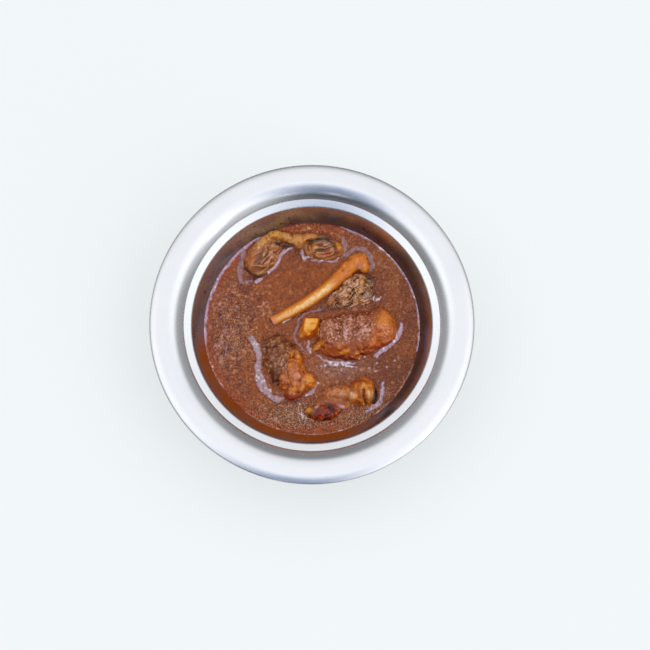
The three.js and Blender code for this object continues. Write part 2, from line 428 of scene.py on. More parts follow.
path_radius = 100 * MM
wall_line = wall_face()
face_line = np.concatenate([wall_line, rim_face()])
underside = offset_line(face_line, steel_thickness)
underside[0, 0] = 0
section = np.concatenate([face_line, underside[::-1]])
section_points = np.stack([section[:, 0] - path_radius, -section[:, 1], np.zeros(len(section))], 1)
section_edges = [(i, i + 1) for i in range(len(section) - 1)]
bowl = new_object("steel_bowl", section_points, section_edges, [])
grow(bowl, tree, Turns=bowl_turns, PathRadius=path_radius, Steel=steel)
shade_smooth(bowl.data, 30)
settle(bowl, "steel", "bowl")

# ------------------------ the leg bone
# The bare bone of a leg lies across the stew: a smooth round shaft, bowed and swelling to a lumpy
# knuckle, stained orange by the sauce. Its left end is broken off; its knuckle end still holds the meat.
STEW_LEVEL = 52.0
ball = bmesh.new()
bmesh.ops.create_icosphere(ball, subdivisions=4, radius=1)
BALL_POINTS = np.array([vertex.co for vertex in ball.verts])
BALL_FACES = [tuple(vertex.index for vertex in face.verts) for face in ball.faces]
ball.free()


def noise(points, size, seed):
    """Smooth noise between -1 and 1, whose lumps are about that size, at each of the points."""
    lattice_primes = np.array([73856093, 19349663, 83492791])
    step_between_seeds = 7.31
    scaled = points / size + seed * step_between_seeds
    cell = np.floor(scaled).astype(np.int64)
    part = scaled - cell
    part = part * part * (3 - 2 * part)
    total = np.zeros(len(points))
    for corner in np.ndindex(2, 2, 2):
        code = (cell + corner) @ lattice_primes
        code = (code ^ (code >> 13)) * 1274126177 & 0xFFFFFFFF
        value = ((code ^ (code >> 16)) & 0xFFFF) / 32767.5 - 1
        total += value * np.prod(np.where(corner, part, 1 - part), axis=1)
    return total


def eased(value, start, end):
    """0 at start and 1 at end, eased and held outside them."""
    share = np.clip((value - start) / (end - start), 0, 1)
    return share * share * (3 - 2 * share)


def near(points, spot, reach, stretch=1.0, turn=0.0):
    """1 at a spot in plan, falling to 0 about reach mm away, or stretch times that along its turn."""
    turn = math.radians(turn)
    away = points[:, :2] - np.array(spot)
    along = (away[:, 0] * math.cos(turn) + away[:, 1] * math.sin(turn)) / stretch
    across = away[:, 1] * math.cos(turn) - away[:, 0] * math.sin(turn)
    return np.exp(-1.5 * (along**2 + across**2) / reach**2)


def depth_in(points, route):
    """How deep in a band each point lies in plan, below 0 outside: a route of x, y and half width."""
    route = np.array(route, float)
    deepest = np.full(len(points), -99.0)
    for start, end in zip(route[:-1], route[1:]):
        span = end - start
        share = np.clip((points[:, :2] - start[:2]) @ span[:2] / (span[:2] @ span[:2]), 0, 1)
        gap = np.linalg.norm(points[:, :2] - start[:2] - share[:, None] * span[:2], axis=1)
        deepest = np.maximum(deepest, start[2] + share * span[2] - gap)
    return deepest


def beside(points, route, reach):
    """1 on a route in plan, falling to 0 about reach mm to either side of it."""
    gap = -depth_in(points, [(*spot, 0) for spot in route])
    return np.exp(-1.5 * (gap / reach) ** 2)


def fibres(points, heading, spacing, length, seed):
    """1 on the crests of fibres that run along a heading in plan, and 0 in the gaps between them."""
    turn = math.radians(heading)
    along = points[:, 0] * math.cos(turn) + points[:, 1] * math.sin(turn)
    across = points[:, 1] * math.cos(turn) - points[:, 0] * math.sin(turn)
    drawn = np.stack([along / length, across / spacing, points[:, 2] / spacing], 1)
    return 1 - np.abs(noise(drawn, 1, seed))


def lobe(spot, size, turn=0, square=1.0):
    """A rounded lobe: spot is x, y and height above the stew, and size its half sizes, all in mm."""
    shaped = np.sign(BALL_POINTS) * np.abs(BALL_POINTS) ** np.array([1, square, square])
    shaped = shaped * np.array(size)
    turn = math.radians(turn)
    across = np.array([[math.cos(turn), math.sin(turn)], [-math.sin(turn), math.cos(turn)]])
    shaped[:, :2] = shaped[:, :2] @ across
    return shaped + np.array([spot[0], spot[1], STEW_LEVEL + spot[2]]), BALL_FACES


def tube(route, radii, sides=20):
    """A closed round bar along a route of points in mm, with a radius at each point."""
    route = np.array(route, float)
    along = np.gradient(route, axis=0)
    along /= np.linalg.norm(along, axis=1)[:, None]
    side = np.cross(along, (0, 0, 1))
    side /= np.linalg.norm(side, axis=1)[:, None]
    over = np.cross(side, along)
    angle = np.arange(sides) * 2 * math.pi / sides
    ring = side[:, None] * np.cos(angle)[:, None] + over[:, None] * np.sin(angle)[:, None]
    points = (route[:, None] + ring * np.array(radii)[:, None, None]).reshape(-1, 3)
    faces = []
    for row in range(len(route) - 1):
        for column in range(sides):
            first = row * sides + column
            second = row * sides + (column + 1) % sides
            faces.append((first, second, second + sides, first + sides))
    faces.append(tuple(range(sides))[::-1])
    faces.append(tuple(range((len(route) - 1) * sides, len(route) * sides)))
    return points, faces


def wall_radius(height):
    """The bowl's inner radius at a height, both in mm."""
    return np.interp(height, wall_line[:, 1] / MM, wall_line[:, 0] / MM)


def flesh(name, shapes, grain=0.6, softening=5):
    """Joins overlapping closed shapes into one skin, meshed at that grain, with softened creases."""
    points, faces = [], []
    for shape_points, shape_faces in shapes:
        start = sum(map(len, points))
        points.append(shape_points)
        faces += [tuple(start + corner for corner in face) for face in shape_faces]
    piece = new_object(name, np.concatenate(points) * MM, [], faces)
    remesh = piece.modifiers.new("skin", "REMESH")
    remesh.mode = "VOXEL"
    remesh.voxel_size = grain * MM
    soften = piece.modifiers.new("soften", "SMOOTH")
    soften.factor = 0.5
    soften.iterations = softening
    graph = bpy.context.evaluated_depsgraph_get()
    mesh = bpy.data.meshes.new_from_object(piece.evaluated_get(graph))
    piece.modifiers.clear()
    piece.data = mesh
    shade_smooth(mesh)
    return piece


def points_of(piece):
    """The piece's points in mm, with heights above the stew."""
    points = np.empty(len(piece.data.vertices) * 3)
    piece.data.vertices.foreach_get("co", points)
    return points.reshape(-1, 3) / MM - (0, 0, STEW_LEVEL)


def normals_of(piece):
    normals = np.empty(len(piece.data.vertices) * 3)
    piece.data.vertex_normals.foreach_get("vector", normals)
    return normals.reshape(-1, 3)


def push(piece, amounts):
    """Moves each point along its normal by so many mm, but not into the wall, and gives the new points."""
    wall_gap = 0.6
    moved = points_of(piece) + normals_of(piece) * amounts[:, None] + (0, 0, STEW_LEVEL)
    reach = np.linalg.norm(moved[:, :2], axis=1)
    room = wall_radius(moved[:, 2]) - wall_gap
    moved[:, :2] *= np.minimum(1, room / np.maximum(reach, 1))[:, None]
    piece.data.vertices.foreach_set("co", (moved * MM).ravel())
    piece.data.update()
    return points_of(piece)


def painted(base, *coats):
    """Each point's colour: a base, then one colour after another where its mask is 1."""
    tones = np.tile(pigment(*base), (len(coats[0][1]), 1))
    for colour, mask in coats:
        tones += (pigment(*colour) - tones) * np.clip(mask, 0, 1)[:, None]
    return tones


def dress(piece, finish, **layers):
    """Gives the piece its finish, and each point what the finish reads there: its paint, how wet it is."""
    piece.data.materials.append(finish)
    for name, values in layers.items():
        if np.ndim(values) == 2:
            layer = piece.data.attributes.new(name, "FLOAT_COLOR", "POINT")
            layer.data.foreach_set("color", np.insert(values, 3, 1, axis=1).ravel())
        else:
            layer = piece.data.attributes.new(name, "FLOAT", "POINT")
            layer.data.foreach_set("value", np.full(len(layer.data), np.clip(values, 0, 1)))


def food_material(name, speckle, speckle_scale, rough, relief):
    """Painted food: its own colours, speckled, a relief in mm, and a glaze of oil where it is wet."""
    material, wire = new_material(name)
    place = wire.node("ShaderNodeTexCoord", out="Object")
    fine = place.cloudy(speckle_scale, 3.0)
    wet = wire.kept("wet")
    finish_with(wire, {
        "Base Color": wire.kept("paint", out="Color").scaled(1 + speckle * 2 * (fine - 0.5)),
        "Roughness": rough - (rough - 0.2) * wet,
        "Coat Weight": 0.6 * wet,
        "Coat Roughness": 0.08,
        "Coat IOR": 1.45,
        "IOR": 1.33,
        "Normal": wire.bump(fine, 1.0, relief * MM),
    })
    return material


bone_start = np.array([-33.0, 5.2])
bone_end = np.array([34.5, 54.0])
bone_bow = 4.2
bone_steps = 40
share = np.linspace(0, 1, bone_steps + 1)
direction = (bone_end - bone_start) / np.linalg.norm(bone_end - bone_start)
bow = np.outer(bone_bow * np.sin(math.pi * share), [direction[1], -direction[0]])
bone_route = np.concatenate([
    bone_start + np.outer(share, bone_end - bone_start) + bow,
    STEW_LEVEL + 2.4 + 0.8 * share[:, None],
], 1)
bone_radii = 4.2 + 1.0 * eased(share, 0, 0.5) + 0.5 * eased(share, 0.5, 0.9)
leg_bone = flesh("leg_bone_bare", [
    tube(bone_route, bone_radii),
    lobe((29.5, 50.0, 2.6), (8.4, 6.0, 6.0), turn=40),
    lobe((36.0, 54.6, 3.0), (7.4, 7.0, 6.6), turn=32),
    lobe((40.4, 57.6, 2.8), (5.0, 5.6, 6.4), turn=18),
    lobe((43.0, 51.6, 2.6), (5.0, 5.8, 6.2)),
], grain=0.5)
p = points_of(leg_bone)
along = (p[:, :2] - bone_start) @ direction
knobbly = eased(along, 60, 72)
p = push(leg_bone, 0.12 * noise(p, 3.0, 1) + 0.55 * noise(p, 4.2, 2) * knobbly
         + 0.3 * noise(p, 1.8, 3) * knobbly)
_, north, up = normals_of(leg_bone).T
streaks = fibres(p, 33, 1.1, 14, 4)
# Painted light falls on faces turned up and a little to the near side, with a painted highlight along the
# middle.
lit = eased(up - 0.25 * north, 0.55, 1.0)
middle = (0.55 * eased(along, 1, 6) + 0.45 * eased(along, 14, 36)) * (1 - eased(along, 50, 64))
bone_finish = food_material("stained_bone", speckle=0.14, speckle_scale=800.0, rough=0.32, relief=0.12)
dress(leg_bone, bone_finish, wet=0.8, paint=painted(
    (212, 122, 50),
    # Painted light and shade: lighter where the shaft faces up, the painted highlight, darker on its
    # underside.
    ((240, 160, 84), lit * 0.8),
    ((255, 214, 146), middle * eased(up - 0.35 * north + 0.14 * noise(p, 1.4, 6), 0.86, 1.10)),
    ((196, 98, 34), eased(-up, -0.45, 0.3) * 0.8),
    ((206, 116, 62), eased(-streaks, -0.6, -0.25) * 0.45),
    ((214, 122, 36), eased(along, 54, 66) * 0.85),
    # On the knuckle, painted light on lumps that face up and painted shade on lumps that face down.
    ((240, 160, 72), knobbly * eased(noise(p, 3.4, 7), 0.0, 0.8) * lit),
    ((160, 78, 22), knobbly * eased(-noise(p, 3.0, 5) - 0.2 * up, 0.1, 0.8) * 0.85),
    # A painted highlight on the knuckle.
    ((214, 148, 122), near(p, (39.5, 50.5), 3.4) * 0.7),
    ((222, 140, 106), near(p, (-32, 5.5), 3.6)),
))
settle(leg_bone, "bone", "leg_bone")

# ------------------------ the leg meat
# What is left of the leg's meat hangs on the knuckle end: a loose clump of shredded fibres, with pale
# strands lying every way over gaps that the sauce has filled, with painted shade in the gaps and painted
# light on the crests, and a yellow tendon across it.
leg_meat = flesh("leg_meat_core", [
    lobe((28, 26, -7.5), (18.5, 11.2, 14.0), turn=18),
    lobe((39.5, 32, -6.5), (11.8, 14.2, 13.6), turn=22),
    lobe((19.5, 21.8, -4), (9.2, 5.8, 8.6), turn=12),
    lobe((32, 36.5, -5), (9, 6.4, 10.6), turn=30),
    lobe((46.5, 38, -6.5), (5.6, 8.0, 11.0), turn=-8),
])
p = points_of(leg_meat)
strands = fibres(p, 40, 1.9, 9, 3)
tangle = fibres(p, -32, 1.9, 7, 9)
tendon = beside(p, [(42, 40), (38, 28), (35, 24)], 1.8)
thick_end = near(p, (19, 22), 6, 1.6, 10)
hollow = (20.3, 23)
p = push(leg_meat, 1.7 * (strands - 0.6) + 1.5 * (tangle - 0.6) * (1 - thick_end) + 1.4 * noise(p, 5, 4)
         + 1.5 * tendon - 1.5 * near(p, hollow, 2.0))
deep = 0.5 * (strands + tangle) + 0.22 * noise(p, 4, 4)
spiky = beside(p, [(46.5, 43), (49.5, 36), (50, 28)], 4.2)
meat_finish = food_material("shredded_meat", speckle=0.3, speckle_scale=900.0, rough=0.4, relief=0.25)
dress(leg_meat, meat_finish, wet=0.5 + 0.4 * noise(p, 3, 6), paint=painted(
    (174, 112, 68),
    # Painted shade in the gaps between the fibres, painted light on their crests.
    ((58, 32, 16), 1 - eased(deep, 0.46, 0.66)),
    ((228, 180, 150), eased(deep, 0.72, 0.92)),
    ((184, 112, 60), thick_end * eased(strands, 0.3, 0.8) * 0.8),
    ((216, 156, 84), tendon * 0.7),
    # Painted shade in the hollow.
    ((96, 46, 20), near(p, hollow, 3.0)),
    ((46, 32, 26), spiky * 0.7),
    # Painted shade in the gap against the drumstick, then a painted highlight.
    ((84, 66, 36), beside(p, [(12, 17), (30, 15.5)], 2.6) * 0.8),
    ((206, 196, 190), near(p, (45, 26.5), 2.6) * 0.6),
))
settle(leg_meat, "shredded_meat", "leg_meat")


def scatter_tree(name, make_item, **sockets):
    """Strews items over the faces, as densely as the crowd attribute says, each standing on its face."""
    tree, ports = new_tree(
        name, Density="Float", Smallest="Float", Largest="Float", LeastTurn="Vector", MostTurn="Vector",
        Seed="Int", Coat="Material", **sockets,
    )
    wire = Wire(tree)

    def chance(low, high, seed):
        """A number of its own for each item."""
        inputs = {2: low, 3: high, 8: seed}
        return wire.node("FunctionNodeRandomValue", inputs, out=1, data_type="FLOAT")

    crowd = wire.node("GeometryNodeInputNamedAttribute", {"Name": "crowd"}, data_type="FLOAT")
    spots = wire.node("GeometryNodeDistributePointsOnFaces", {
        "Mesh": ports["Geometry"],
        "Density": crowd * ports["Density"],
        "Seed": ports["Seed"],
    }, distribute_method="RANDOM")
    turn = wire.node("FunctionNodeRandomValue", {
        0: ports["LeastTurn"],
        1: ports["MostTurn"],
        8: ports["Seed"],
    }, data_type="FLOAT_VECTOR")
    standing = wire.node("FunctionNodeAlignRotationToVector", {
        "Rotation": wire.node("FunctionNodeEulerToRotation", {"Euler": turn}),
        "Vector": Wire(tree, spots.socket.node.outputs["Normal"]),
    }, axis="Z")
    laid = wire.node("GeometryNodeInstanceOnPoints", {
        "Points": spots,
        "Instance": make_item(wire, ports),
        "Rotation": standing,
        "Scale": chance(ports["Smallest"], ports["Largest"], seed=11),
    })
    shaded = wire.node("GeometryNodeStoreNamedAttribute", {
        "Geometry": laid,
        "Name": "shade",
        "Value": chance(0.0, 1.0, seed=23),
    }, data_type="FLOAT", domain="INSTANCE")
    end_tree(tree, shaded, ports["Coat"])
    return tree


def strewn(name, ground, crowd, tree, **values):
    """A new piece of what the tree strews over a copy of the ground, thickest where crowd is 1."""
    piece = ground.copy()
    piece.data = ground.data.copy()
    piece.name = name
    scene.collection.objects.link(piece)
    layer = piece.data.attributes.new("crowd", "FLOAT", "POINT")
    layer.data.foreach_set("value", crowd)
    grow(piece, tree, **values)
    piece.data.name = name
    shade_smooth(piece.data)
    return piece


def bent_strand(wire, ports):
    half = ports["Length"] * 0.5
    line = wire.node("GeometryNodeCurveQuadraticBezier", {
        "Resolution": 9,
        "Start": wire.node("ShaderNodeCombineXYZ", {"X": half * -1.0, "Z": half * -0.14}),
        "Middle": wire.node("ShaderNodeCombineXYZ", {"Y": half * 0.7, "Z": half * 0.36}),
        "End": wire.node("ShaderNodeCombineXYZ", {"X": half, "Y": half * 0.15, "Z": half * -0.22}),
    })
    ring = wire.node("GeometryNodeCurvePrimitiveCircle", {"Resolution": 6, "Radius": ports["Thickness"]})
    return wire.node("GeometryNodeCurveToMesh", {"Curve": line, "Profile Curve": ring, "Fill Caps": True})


def shaded_material(name, dark, light, rough, glaze):
    """Small strewn things, each with its own shade between the two colours."""
    material, wire = new_material(name)
    mottle = wire.node("ShaderNodeTexCoord", out="Object").cloudy(700.0, 3.0)
    blend = (wire.kept("shade") * 0.7 + mottle * 0.6 - 0.15).between(0, 1)
    finish_with(wire, {
        "Base Color": blend.mix(flat_paint(*dark), flat_paint(*light)),
        "Roughness": rough + 0.15 * (mottle - 0.5),
        "Coat Weight": glaze,
        "Coat Roughness": 0.1,
    })
    return material


strand_tree = scatter_tree("shredded_strands", bent_strand, Length="Float", Thickness="Float")
strand_finish = shaded_material("meat_strand", (128, 80, 46), (238, 192, 156), rough=0.36, glaze=0.4)
up = normals_of(leg_meat)[:, 2]
crowd = eased(up, 0.1, 0.6) * (1 - 0.8 * thick_end) * (1 - 0.5 * spiky) * (p[:, 2] > 0.3)
shreds = strewn(
    "leg_meat_shreds", leg_meat, crowd, strand_tree, Density=1.5e5, Smallest=0.5, Largest=1.2,
    LeastTurn=(0, 0, -0.9), MostTurn=(0, 0, 2.3), Seed=4, Coat=strand_finish,
    Length=6.0 * MM, Thickness=0.32 * MM,
)
settle(shreds, "shredded_meat", "leg_meat")

# ------------------------ the drumstick's knuckle
# The small end of the drumstick pokes out of its meat: a blunt block of gristle and bone, chopped to flat
# faces, and the brightest thing in the bowl.


def block(corners):
    """The closed hull round some corners given in mm, with heights above the stew."""
    hull = bmesh.new()
    for corner in corners:
        hull.verts.new(Vector(corner) + Vector((0, 0, STEW_LEVEL)))
    bmesh.ops.convex_hull(hull, input=hull.verts)
    hull.verts.ensure_lookup_table()
    points = np.array([vertex.co for vertex in hull.verts])
    faces = [tuple(vertex.index for vertex in face.verts) for face in hull.faces]
    hull.free()
    return points, faces


knuckle = flesh("drumstick_knuckle_bare", [
    block([
        (-5.5, 7.4, 7.0), (5.5, 6.6, 8.4), (2.6, -1.5, 8.6), (-6.8, -2.6, 6.8), (-3.0, -7.4, 5.0),
        (-6.8, 9.0, 1.5), (7.8, 8.2, 2.0), (5.6, -4.5, 1.5), (-2.4, -10.6, 0.5), (-11.0, -7.6, 0.5),
        (-10.8, -2.8, 1.5), (-6.0, 8.0, -5.0), (7.0, 7.5, -5.0), (4.5, -6.0, -5.0), (-9.5, -7.0, -5.0),
    ]),
    lobe((9, -2, -3), (11, 6.5, 7)),
], grain=0.5, softening=14)
p = points_of(knuckle)
p = push(knuckle, 0.5 * noise(p, 4.0, 11) + 0.2 * noise(p, 1.6, 12))
x = p[:, 0]
east, north, up = normals_of(knuckle).T
dress(knuckle, bone_finish, wet=0.8, paint=painted(
    (218, 126, 34),
    # Painted light and highlight on the top faces; painted shade on faces turned down and to the near side.
    ((244, 164, 64), eased(up, 0.68, 0.96)),
    ((255, 196, 108), eased(up, 0.8, 1) * near(p, (-3, 3.5), 3.4, 1.8, 60) * 0.8),
    ((172, 90, 22), eased(-north + 0.3 * east - 0.4 * up, -0.1, 0.6)),
    ((196, 106, 30), eased(noise(p, 2.6, 13), 0.2, 0.9) * 0.6),
    ((120, 60, 24), eased(x, 4.6, 8.5)),
    ((226, 156, 92), near(p, (-8.2, -6.2), 2.2) * 0.7),
))
settle(knuckle, "bone", "drumstick_knuckle")

# ------------------------ the drumstick
# A whole drumstick on its side: soft rolls of meat under a coat of grainy sauce, then its rounded end in
# bare orange skin. The flank under the coat is browned and lumpy. Its underside, the grooves between the
# rolls and a crease by the knuckle are darkened with painted shade, and painted highlights lie on its humps.
drumstick = flesh("drumstick_meat_coated", [
    lobe((29, -7, -8.5), (29.5, 21.4, 18.6), turn=4, square=0.88),
    lobe((15, -5, -5), (11.5, 16, 15), turn=10),
    lobe((27.5, -6.5, -5), (8.5, 18.5, 16.4), turn=6),
    lobe((43, -4, -6.0), (14.5, 19.2, 17.2), turn=8, square=0.92),
    lobe((55.5, 0.2, -6), (15, 17.6, 17.0), turn=10, square=0.94),
    lobe((4.5, -15, -3), (7.5, 4.2, 6.4), turn=42),
    lobe((20, -22.0, -6), (9, 5, 8.6)),
    lobe((34, -23.4, -6), (9, 4.6, 8.6), turn=-4),
    lobe((46, -20.0, -6), (6.5, 4.5, 8), turn=20),
])
p = points_of(drumstick)
_, y, z = p.T
back = eased(z, 1, 6)
rolls = beside(p, [(21.5, 14), (22.5, 0), (21, -14)], 2.4)
rolls += beside(p, [(34, 14), (35.5, 0), (34, -16)], 2.2)
flank = eased(-y - 0.35 * z, 6, 13)
p = push(drumstick, 0.8 * noise(p, 7, 22) + 0.4 * noise(p, 2.6, 23) + 0.2 * noise(p, 1.3, 20) * back
         - 0.8 * rolls - 0.5 * beside(p, [(50, 15), (52, 4), (51, -8)], 1.8) + 0.7 * noise(p, 3.0, 19) * flank
         - 0.9 * beside(p, [(0, -18), (8, -10.5)], 1.2))
x, y, z = p.T
_, north, up = normals_of(drumstick).T
grit = noise(p, 1.1, 24) + 0.5 * noise(p, 0.6, 26)
clumps = noise(p, 3.0, 27)
bare_end = eased(x - 0.16 * y + 3.0 * noise(p, 6, 28), 46, 55)
coat = eased(y + 0.9 * z + 3.5 * noise(p, 7, 25), -10, 1) * (1 - 0.85 * bare_end)
# Where the painted highlights lie on the coat's humps.
hump_highlights = np.maximum.reduce([
    near(p, (15, 0.5), 6), near(p, (28, -5), 4.2, 2.0, 90), near(p, (43, -2.5), 6.5), near(p, (30, 7), 4),
])
skin_finish = food_material("coated_meat", speckle=0.55, speckle_scale=640.0, rough=0.34, relief=0.35)
dress(drumstick, skin_finish, wet=0.9 - 0.15 * coat, paint=painted(
    (166, 86, 22),
    ((216, 134, 46), flank * eased(noise(p, 3.6, 19), 0.0, 0.6) * 0.9),
    # Painted shade on faces turned down and to the near side.
    ((112, 50, 8), eased(-north - 0.7 * up, -0.1, 0.6)),
    ((206, 112, 34), bare_end),
    # Bare end: painted highlight on top, painted light on clumps facing up, painted shade on its near side.
    ((238, 150, 66), bare_end * near(p, (59, 8), 8) * eased(up, 0.4, 0.9)),
    ((228, 150, 104), bare_end * eased(clumps, 0.1, 0.9) * eased(up, 0.5, 0.95) * 0.6),
    ((150, 66, 14), bare_end * eased(-north, 0.2, 0.9) * 0.9),
    ((236, 172, 128), bare_end * near(p, (59, -4), 8) * eased(grit, 0.1, 0.7) * 0.8),
    ((146, 60, 20), bare_end * near(p, (62, -4), 8) * eased(-grit, 0.4, 0.9) * 0.7),
    ((164, 102, 68), coat * 0.92),
    # Painted shade in the grooves between the rolls.
    ((134, 74, 40), np.clip(rolls, 0, 1) * coat * 0.7),
    ((146, 80, 32), coat * eased(y, 4, 11) * 0.9),
    ((230, 176, 154), coat * eased(grit, 0.2, 0.8) * 0.95),
    ((106, 54, 28), coat * eased(-grit - 0.4 * clumps, 0.2, 0.8) * 0.9),
    # Painted highlights on the humps and down the middle of the coat.
    ((222, 164, 148), hump_highlights * coat * eased(grit, -0.7, 0.5) * 0.75),
    ((228, 184, 190), beside(p, [(27.5, -1), (28, -12)], 1.7) * eased(grit, -0.6, 0.3) * 0.8),
    ((214, 144, 58), beside(p, [(1, -18.5), (8, -12.5)], 2.0) * 0.8),
    # Painted shade in the crease by the knuckle.
    ((96, 46, 18), beside(p, [(0, -15), (6, -8.5)], 1.4) * 0.7),
))
settle(drumstick, "coated_meat", "drumstick_meat")

# ------------------------ the thigh
# A thigh lies half sunk on the left: its back is buried under grainy brown sauce, with a pit in it that is
# painted near black as shade, and a knobbly orange chunk of skin and fat stands out at its right, with
# painted light and highlights on it.
thigh = flesh("thigh_coated", [
    lobe((-27, -24, -9.5), (16.5, 23.5, 17.0), turn=22, square=0.9),
    lobe((-20, -20, -9), (12.5, 11, 14), turn=-30),
    lobe((-21, -16, -7.5), (14.5, 8.5, 11.5), turn=-24),
    lobe((-24, -42, -8), (12, 13, 14.8), turn=20),
    lobe((-14, -40, -6), (11.5, 17.5, 17.2), turn=14, square=0.92),
    lobe((-4.5, -44, -4), (8.4, 8, 12.8), turn=-20),
    lobe((-12.2, -24.5, -3), (5.2, 7.2, 11.0), turn=24),
    lobe((-15, -54.5, -5), (10, 6.5, 9.6), turn=6),
], softening=4)
p = points_of(thigh)
x, y, _ = p.T
pit = (-29.5, -46)
chunk = eased(x * 0.93 - y * 0.3 + 2.0 * noise(p, 5, 35), -12.5, -7.5) * eased(-y, 16, 20)
p = push(thigh, 1.2 * noise(p, 7, 31) + 0.8 * (1 - 0.5 * chunk) * noise(p, 3.6, 32)
         + 0.35 * noise(p, 1.8, 33) + 0.4 * chunk * noise(p, 4.6, 38) - 5.0 * near(p, pit, 2.2)
         - 1.3 * beside(p, [(-16, -22), (-21, -32), (-21, -42), (-17, -50)], 1.6))
up = normals_of(thigh)[:, 2]
grit = noise(p, 1.2, 34) + 0.4 * noise(p, 0.6, 39)
knobs = noise(p, 3.4, 36)
clumps = noise(p, 2.6, 37)
dress(thigh, skin_finish, wet=0.6 + 0.35 * chunk, paint=painted(
    (138, 84, 50),
    ((204, 154, 122), eased(grit, 0.2, 0.8) * 0.85),
    ((72, 38, 20), eased(-grit, 0.2, 0.8) * 0.8),
    ((92, 52, 26), eased(-clumps, 0.0, 0.7) * 0.7),
    ((178, 128, 92), eased(clumps, 0.15, 0.7) * 0.7),
    ((84, 46, 22), near(p, (-31, -42), 7, 1.5, 70) * 0.7),
    ((186, 102, 42), chunk),
    # Painted light where the chunk's knobs face up, and painted highlights on the chunk and its right knob.
    ((232, 148, 64), chunk * eased(knobs, 0.0, 0.7) * eased(up, 0.2, 0.8)),
    ((206, 134, 108), chunk * near(p, (-14, -41), 7, 1.5, 75) * eased(grit, -0.8, 0.4) * 0.9),
    ((238, 158, 74), near(p, (-1, -43), 5.5) * eased(up, 0.3, 0.9) * 0.8),
    ((136, 62, 14), chunk * eased(-knobs, 0.1, 0.8) * 0.8),
    ((232, 162, 104), chunk * eased(grit - 0.4 * knobs, 0.45, 0.9) * 0.6),
    ((140, 70, 26), chunk * eased(-grit - 0.4 * knobs, 0.45, 0.9) * 0.6),
    ((222, 168, 96), near(p, (-12.5, -20.5), 2.6) * 0.8),
    ((226, 170, 140), near(p, (-22.5, -31), 3.4, 2.0, 100) * eased(grit, -0.2, 0.5) * 0.8),
    ((124, 56, 16), beside(p, [(-26, -54), (-14, -60), (-4, -55)], 4.0) * 0.85),
    # The pit is painted near black as its shade.
    ((24, 14, 10), near(p, pit, 2.8)),
))
settle(thigh, "coated_meat", "thigh_piece")

# ------------------------ the drumette
# A wing's upper joint at the near side: a knobbly orange end split by a crevice round its pale knuckle,
# a thinly coated saddle, and a dark browned lobe that dips under the sauce. Painted shade darkens the
# crevice and the end's right side, and painted light and highlights lie on the end and the lobes.
crevice = [(42.0, -52), (41.6, -57), (43.4, -62), (45, -64.5)]
pale_knuckle = (46.5, -56)
drumette = flesh("drumette_coated", [
    lobe((42, -52.5, -4), (11.2, 13.6, 13.2), turn=12),
    lobe((48.5, -54, -3.2), (5, 10, 10.4), turn=8),
    lobe((35, -56, -4), (7.5, 9.5, 11), turn=20),
    lobe((21, -54, -6.5), (16.5, 9, 11.4), turn=8),
    lobe((15, -61.5, -6.6), (18, 8, 10.6), turn=4),
    lobe((9.5, -69.5, -6), (17.0, 9.2, 11.4), turn=4),
    lobe((-1, -68.8, -3), (5.5, 5, 7.2)),
    lobe((24, -65, -7), (10, 6.5, 10.4), turn=20),
], softening=4)
p = points_of(drumette)
x, y, _ = p.T
low_lobe = eased(-y + 0.12 * x, 62, 66) * (1 - eased(x, 22, 30))
p = push(drumette, 0.8 * noise(p, 5, 41) + 0.55 * noise(p, 2.8, 42) + 0.25 * noise(p, 1.4, 43)
         - 2.2 * beside(p, crevice, 1.2) + 1.3 * near(p, pale_knuckle, 2.6, 1.7, 90)
         - 0.5 * beside(p, [(5, -63.5), (16, -62), (28, -63)], 1.8))
x, y, _ = p.T
up = normals_of(drumette)[:, 2]
grit = noise(p, 1.2, 44) + 0.4 * noise(p, 0.6, 46)
lumps = noise(p, 3.2, 45)
browned = noise(p, 3.2, 47)
dress(drumette, skin_finish, wet=0.9 - 0.45 * low_lobe, paint=painted(
    (188, 106, 34),
    # Painted light on the lumps that face up.
    ((226, 148, 66), eased(lumps, 0.0, 0.7) * eased(up, 0.1, 0.8)),
    ((128, 60, 16), eased(-lumps, 0.1, 0.8) * 0.8),
    ((232, 160, 96), eased(grit, 0.45, 0.95) * 0.5),
    ((136, 70, 28), eased(-grit, 0.45, 0.95) * 0.5),
    ((184, 92, 34), eased(y, -50, -45) * (1 - eased(x, 32, 40)) * 0.85),
    ((186, 118, 78), near(p, (20, -55), 9, 1.5, 6) * 0.85),
    ((220, 164, 138), near(p, (19, -57), 9, 1.5, 6) * eased(grit, -0.2, 0.7) * 0.8),
    ((158, 94, 62), beside(p, [(2, -61), (14, -60), (28, -60)], 5) * (0.6 + 0.4 * grit)),
    ((140, 66, 12), low_lobe),
    ((78, 32, 4), low_lobe * eased(browned, 0.0, 0.6) * 0.9),
    ((202, 120, 44), low_lobe * eased(grit - 0.6 * browned, 0.35, 0.9) * 0.8),
    ((222, 150, 66), near(p, (-3, -68), 3.2, 1.4, 20)),
    # Painted highlights.
    ((226, 176, 168), (near(p, (4, -65.5), 1.6, 1.6, 30) + near(p, (24.5, -65), 2.0, 1.8, -20)) * 0.85),
    ((240, 186, 124), near(p, pale_knuckle, 2.2, 1.9, 90)),
    # Painted highlights on the knobbly end.
    ((226, 190, 130), near(p, (33, -56.5), 2.8) * 0.8),
    ((236, 214, 196), near(p, (31.8, -54.6), 1.2) * 0.9),
    # Painted shade in the crevice and down the end's right side.
    ((56, 28, 12), beside(p, crevice, 1.1) * 0.85),
    ((66, 32, 20), eased(x - 0.12 * (y + 50), 49.5, 52)),
    ((84, 62, 26), near(p, (49.5, -61), 3.0) * 0.8),
))
settle(drumette, "coated_meat", "drumette_piece")

